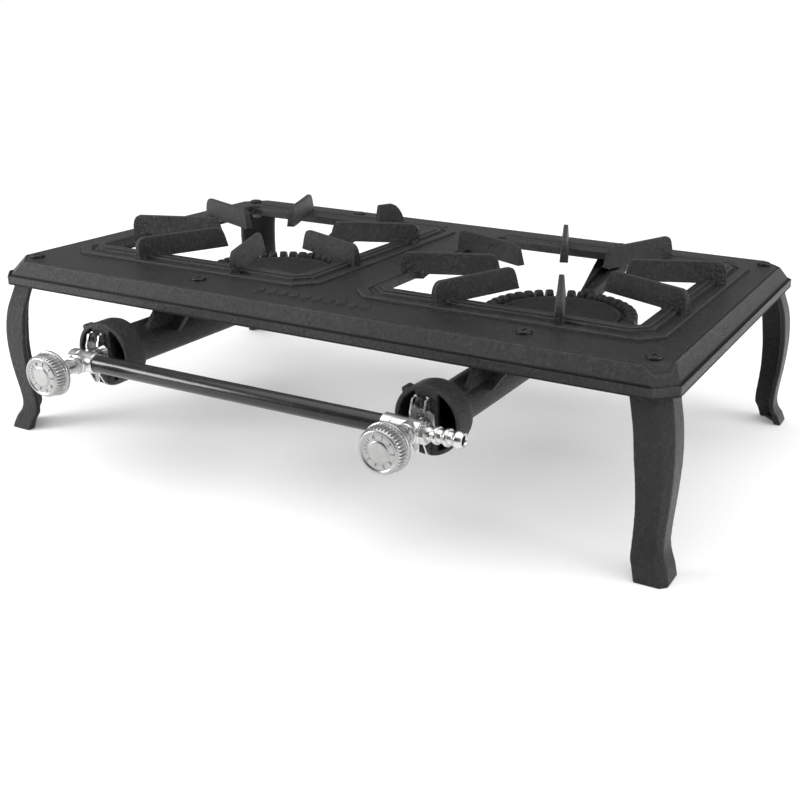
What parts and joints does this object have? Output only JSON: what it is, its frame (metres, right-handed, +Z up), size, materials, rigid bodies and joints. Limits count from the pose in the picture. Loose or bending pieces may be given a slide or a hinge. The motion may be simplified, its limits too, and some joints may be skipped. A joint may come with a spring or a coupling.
{
  "type": "two-burner cast-iron gas stove",
  "caption": "low table gas stove: cast deck with two square openings ringed by radial pan fins, cabriole legs, crown burners on venturi tubes, front gas pipe with turning knobs and a barbed inlet",
  "frame": {"origin": "middle of the bounding box's bottom, on the plane the feet stand on", "axes": "X along the stove, Y from the knobs to the back, Z up"},
  "size_m": [0.6526, 0.4742, 0.181],
  "materials": {
    "cast_iron": "matte black heat paint over sand-cast grain",
    "black_screws": "blackened steel, semi gloss",
    "plain_steel": "zinc-dull steel",
    "black_gloss_pipe": "smooth black enamel",
    "bright_plating": "bright nickel-like plating, slightly satin",
    "satin_plating": "satin silver die casting",
    "brass": "machined brass",
    "seal_rubber": "black nitrile"
  },
  "bodies": {
    "stove": {"top_frame": "cast_iron", "leg_front_right": "cast_iron", "leg_front_left": "cast_iron", "leg_back_right": "cast_iron", "leg_back_left": "cast_iron", "burner_left": "cast_iron", "burner_right": "cast_iron", "burner_cap_left": "cast_iron", "burner_cap_right": "cast_iron", "leg_screws": "black_screws", "burner_front_screws": "black_screws", "burner_rear_screws": "black_screws", "bracket_screws": "black_screws", "burner_cap_screws": "black_screws", "leg_nuts": "plain_steel", "burner_front_nuts": "plain_steel", "burner_rear_nuts": "plain_steel", "manifold_pipe": "black_gloss_pipe", "valve_body_left": "bright_plating", "valve_body_right": "bright_plating", "valve_bonnet_left": "bright_plating", "valve_bonnet_right": "bright_plating", "valve_bracket_left": "bright_plating", "valve_bracket_right": "bright_plating", "hose_tail": "bright_plating", "gas_jets": "brass", "thrust_washers": "brass", "stem_seal_left": "seal_rubber", "stem_seal_right": "seal_rubber"},
    "knob_left_body": {"knob_left": "satin_plating", "valve_stem_left": "brass"},
    "knob_right_body": {"knob_right": "satin_plating", "valve_stem_right": "brass"}
  },
  "joints": [
    {"name": "knob_left_turn", "type": "hinge", "parent": "stove", "child": "knob_left_body", "pos_m": [-0.1559, -0.22115, 0.1089], "axis": [0, -1, 0], "range_deg": [0, 180]},
    {"name": "knob_right_turn", "type": "hinge", "parent": "stove", "child": "knob_right_body", "pos_m": [0.1511, -0.22115, 0.1089], "axis": [0, -1, 0], "range_deg": [0, 180]}
  ]
}
